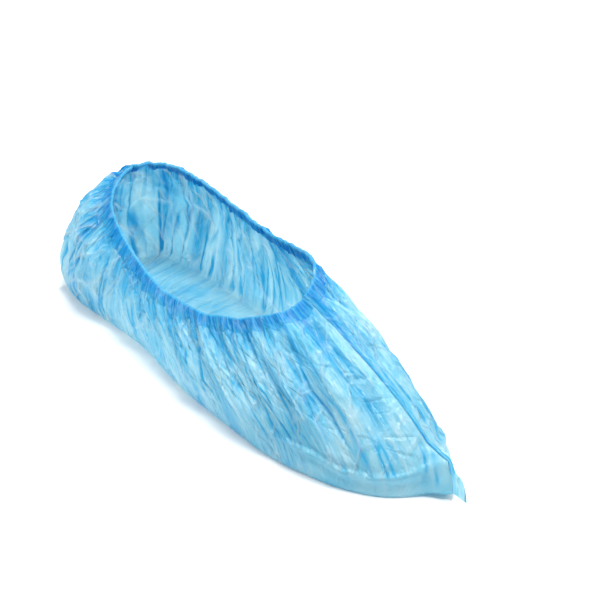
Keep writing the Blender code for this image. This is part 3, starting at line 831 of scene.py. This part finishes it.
def fin_mesh(surface, rib, stations, widths, leans, wave):
    """Welded double film on a seam, laid over to one side."""
    across = 7
    share = np.linspace(0.0, 1.0, stations)
    depth = np.zeros((surface.count, stations)) + 0.002
    depth += (surface.length[:, None] - 0.002) * share[None, :]
    root, _, _ = surface.wall(depth)
    along = unit(root[(rib + 4) % surface.count] - root[rib - 4])
    root = root[rib]
    for _ in range(3):
        root[1:-1] = 0.25 * root[:-2] + 0.5 * root[1:-1] + 0.25 * root[2:]
    down = unit(np.gradient(root, axis=0))
    normal = unit(np.cross(along, down))
    ragged = 0.22 - 0.22 * smooth_step((share - 0.78) / 0.08)
    width = widths(share) * (1.0 + ragged * soft_noise(share * stations / 4.0, 0.0 * share, 83))
    lean = np.radians(leans(share))
    ripple = wave * soft_noise(share * stations / 5.0, 0.0 * share + 3.0, 81)
    ripple *= 1.0 - 0.9 * smooth_step((share - 0.78) / 0.1)
    reach = np.linspace(0.0, 1.0, across)
    bend = lean[:, None] + ripple[:, None] * reach[None, :]
    rise = normal[:, None] * np.cos(bend)[..., None] - along[:, None] * np.sin(bend)[..., None]
    step = width[:, None, None] * rise / (across - 1)
    sheet = root[:, None] + np.cumsum(step, axis=1) - step[:, :1] + normal[:, None] * 0.0003
    plate = smooth_step((share[:, None] - 0.92) / 0.04) + 0.0 * reach[None, :]
    level = 0.0 * plate
    pleats = 0.0007 * plate * facets(5.0 * reach[None, :] + level, 6.0 * share[:, None] + level, 85)
    sheet += along[:, None] * (pleats * reach[None, :])[..., None]
    sheet[..., 2] = np.maximum(sheet[..., 2], FLOOR_GAP)
    low = smooth_step((share[:, None] - 0.35) / 0.30)
    dark = 0.95 - 0.45 * low * smooth_step(3.0 * reach[None, :] - 0.4)
    dark = dark * (1.0 - 0.8 * plate)
    marks = np.stack((dark, 0.2 + 0.8 * plate), axis=-1)
    lie = np.stack(np.broadcast_arrays(
        width[:, None] * reach[None, :] / MILLIMETRE, depth[rib][:, None] / MILLIMETRE), axis=-1)
    return sheet.reshape(-1, 3), strip_faces(stations, across, closed=False), marks, lie


class COVER_OT_film_bag(bpy.types.Operator):
    """Build the wrinkled film wall with the sole"""

    bl_idname = "shoe_cover.film_bag"
    bl_label = "Film Bag"

    def execute(self, context):
        folds, colours = context.scene.cover_folds, context.scene.cover_colours
        surface = surface_of(context)
        film = blown_polyethylene_film(
            "blown_polyethylene_film", colours.taut, colours.slack, colours.doubled,
            roughness=0.26, translucent=0.30, clear=0.14, gloss=0.85, apart=1.6)
        bag = add_piece(context, "film_bag", film, *film_bag_mesh(surface, 0.55 * folds.hem_depth))
        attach(bag, "root")
        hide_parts("film_body")
        return {"FINISHED"}


class COVER_OT_gathered_hem(bpy.types.Operator):
    """Build the pleated hem and the elastic inside it"""

    bl_idname = "shoe_cover.gathered_hem"
    bl_label = "Gathered Hem"

    def execute(self, context):
        folds, colours = context.scene.cover_folds, context.scene.cover_colours
        surface = surface_of(context)
        film = blown_polyethylene_film(
            "gathered_polyethylene_film", colours.hem, colours.slack, colours.doubled,
            roughness=0.28, translucent=0.30, clear=0.60, gloss=0.35, apart=0.9)
        hem = add_piece(context, "hem_ruffle", film,
                        *hem_ruffle_mesh(surface, folds.hem_depth, folds.roll_radius))
        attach(hem, "root")
        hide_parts("gathered_hem")
        ring = add_piece(context, "elastic_ring", covered_rubber(colours.elastic),
                         *elastic_ring_mesh(surface, folds.roll_radius, folds.elastic_radius))
        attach(ring, "root")
        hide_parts("elastic_cord")
        return {"FINISHED"}


class COVER_OT_welded_fins(bpy.types.Operator):
    bl_idname = "shoe_cover.welded_fins"
    bl_label = "Welded Fins"

    def execute(self, context):
        colours = context.scene.cover_colours
        surface = surface_of(context)
        film = blown_polyethylene_film(
            "welded_polyethylene_film", colours.taut, colours.slack, colours.doubled,
            roughness=0.26, translucent=0.35, clear=0.10, gloss=0.85, apart=1.6)
        toe_shape = fin_mesh(
            surface, 0, 150, lambda way: TOE_REACH * read_table(TOE_FIN, 1, way),
            lambda way: read_table(TOE_FIN, 2, way), 0.35)
        toe = add_piece(context, "toe_fin", film, *toe_shape)
        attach(toe, "root")
        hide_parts("toe_seam")
        heel_shape = fin_mesh(
            surface, surface.per_side, 70, lambda way: HEEL_FIN + 0.0 * way,
            lambda way: 75.0 + 0.0 * way, 0.30)
        heel = add_piece(context, "heel_fin", film, *heel_shape)
        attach(heel, "root")
        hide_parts("heel_seam")
        # The cut is 0.30 by 0.36 m, less 39 mm of turned hem, which is a piece of its own
        return {"FINISHED"}


def add_light(context, name, place, target, size, power):
    """Rectangular area light that faces its target."""
    light = bpy.data.lights.new(name, "AREA")
    light.shape = "RECTANGLE"
    light.size, light.size_y = size
    light.energy = power
    lamp = bpy.data.objects.new(name, light)
    lamp.location = place
    lamp.rotation_euler = (Vector(target) - Vector(place)).to_track_quat("-Z", "Y").to_euler()
    context.scene.collection.objects.link(lamp)
    return lamp


class COVER_OT_stage(bpy.types.Operator):
    """Set up the pale floor, the soft light and the camera"""

    bl_idname = "shoe_cover.stage"
    bl_label = "Stage"

    def execute(self, context):
        scene = context.scene
        settings = scene.cover_stage
        size = 4.0
        corners = np.array(((-size, -size, -0.0004), (size, -size, -0.0004),
                            (size, size, -0.0004), (-size, size, -0.0004)))
        floor = add_piece(context, "floor", painted_board(settings.floor), corners, [(0, 1, 2, 3)])
        world = bpy.data.worlds.new("white_surround")
        world.use_nodes = True
        surround = world.node_tree.nodes["Background"]
        surround.inputs["Color"].default_value = (1.0, 1.0, 1.0, 1.0)
        surround.inputs["Strength"].default_value = settings.daylight
        scene.world = world
        middle = (0.0, 0.0, 0.03)
        for name, spot, box, share in (
                ("overhead", (0.10, -0.10, 1.40), (0.60, 0.60), 1.0),
                ("back_right", (0.95, 0.55, 0.80), (0.22, 0.40), 0.45),
                ("back_left", (-0.95, 0.75, 0.90), (0.30, 0.40), 0.45),
                ("front_right", (0.55, -1.05, 1.00), (0.25, 0.40), 0.35)):
            add_light(context, name, spot, middle, box, share * settings.key)
        scene.view_settings.view_transform = "Standard"
        lens = bpy.data.cameras.new("photo_camera")
        lens.sensor_fit = "AUTO"
        lens.sensor_width = 36.0
        lens.lens = LENS
        camera = bpy.data.objects.new("photo_camera", lens)
        back = Vector(CAMERA_BACK).normalized()
        right = Vector((-back.y, back.x, 0.0)).normalized()
        up = back.cross(right)
        roll = radians(CAMERA_ROLL)
        turned_right = right * cos(roll) + up * sin(roll)
        turned_up = up * cos(roll) - right * sin(roll)
        turn = Matrix((turned_right, turned_up, back)).transposed().to_4x4()
        camera.matrix_world = Matrix.Translation(Vector(EYE)) @ turn
        scene.collection.objects.link(camera)
        scene.camera = camera
        return {"FINISHED"}


class COVER_PT_panel(bpy.types.Panel):
    """Shoe cover settings and steps"""

    bl_label = "Shoe Cover"
    bl_space_type = "VIEW_3D"
    bl_region_type = "UI"
    bl_category = "Shoe Cover"

    def draw(self, context):
        for group in (context.scene.cover_folds, context.scene.cover_colours, context.scene.cover_stage):
            box = self.layout.box()
            for name in group.__annotations__:
                box.prop(group, name)
        for operator in OPERATORS:
            self.layout.operator(operator.bl_idname)


OPERATORS = (COVER_OT_film_bag, COVER_OT_gathered_hem, COVER_OT_welded_fins, COVER_OT_stage)
CLASSES = (CoverFoldSettings, CoverColourSettings, CoverStageSettings, *OPERATORS, COVER_PT_panel)


def register():
    for cls in CLASSES:
        bpy.utils.register_class(cls)
    bpy.types.Scene.cover_folds = PointerProperty(type=CoverFoldSettings)
    bpy.types.Scene.cover_colours = PointerProperty(type=CoverColourSettings)
    bpy.types.Scene.cover_stage = PointerProperty(type=CoverStageSettings)


def unregister():
    del bpy.types.Scene.cover_stage
    del bpy.types.Scene.cover_colours
    del bpy.types.Scene.cover_folds
    for cls in reversed(CLASSES):
        bpy.utils.unregister_class(cls)


def main():
    """Build everything in order."""
    register()
    bpy.ops.shoe_cover.film_bag()
    bpy.ops.shoe_cover.gathered_hem()
    bpy.ops.shoe_cover.welded_fins()
    bpy.ops.shoe_cover.stage()


if __name__ == "__main__":
    main()
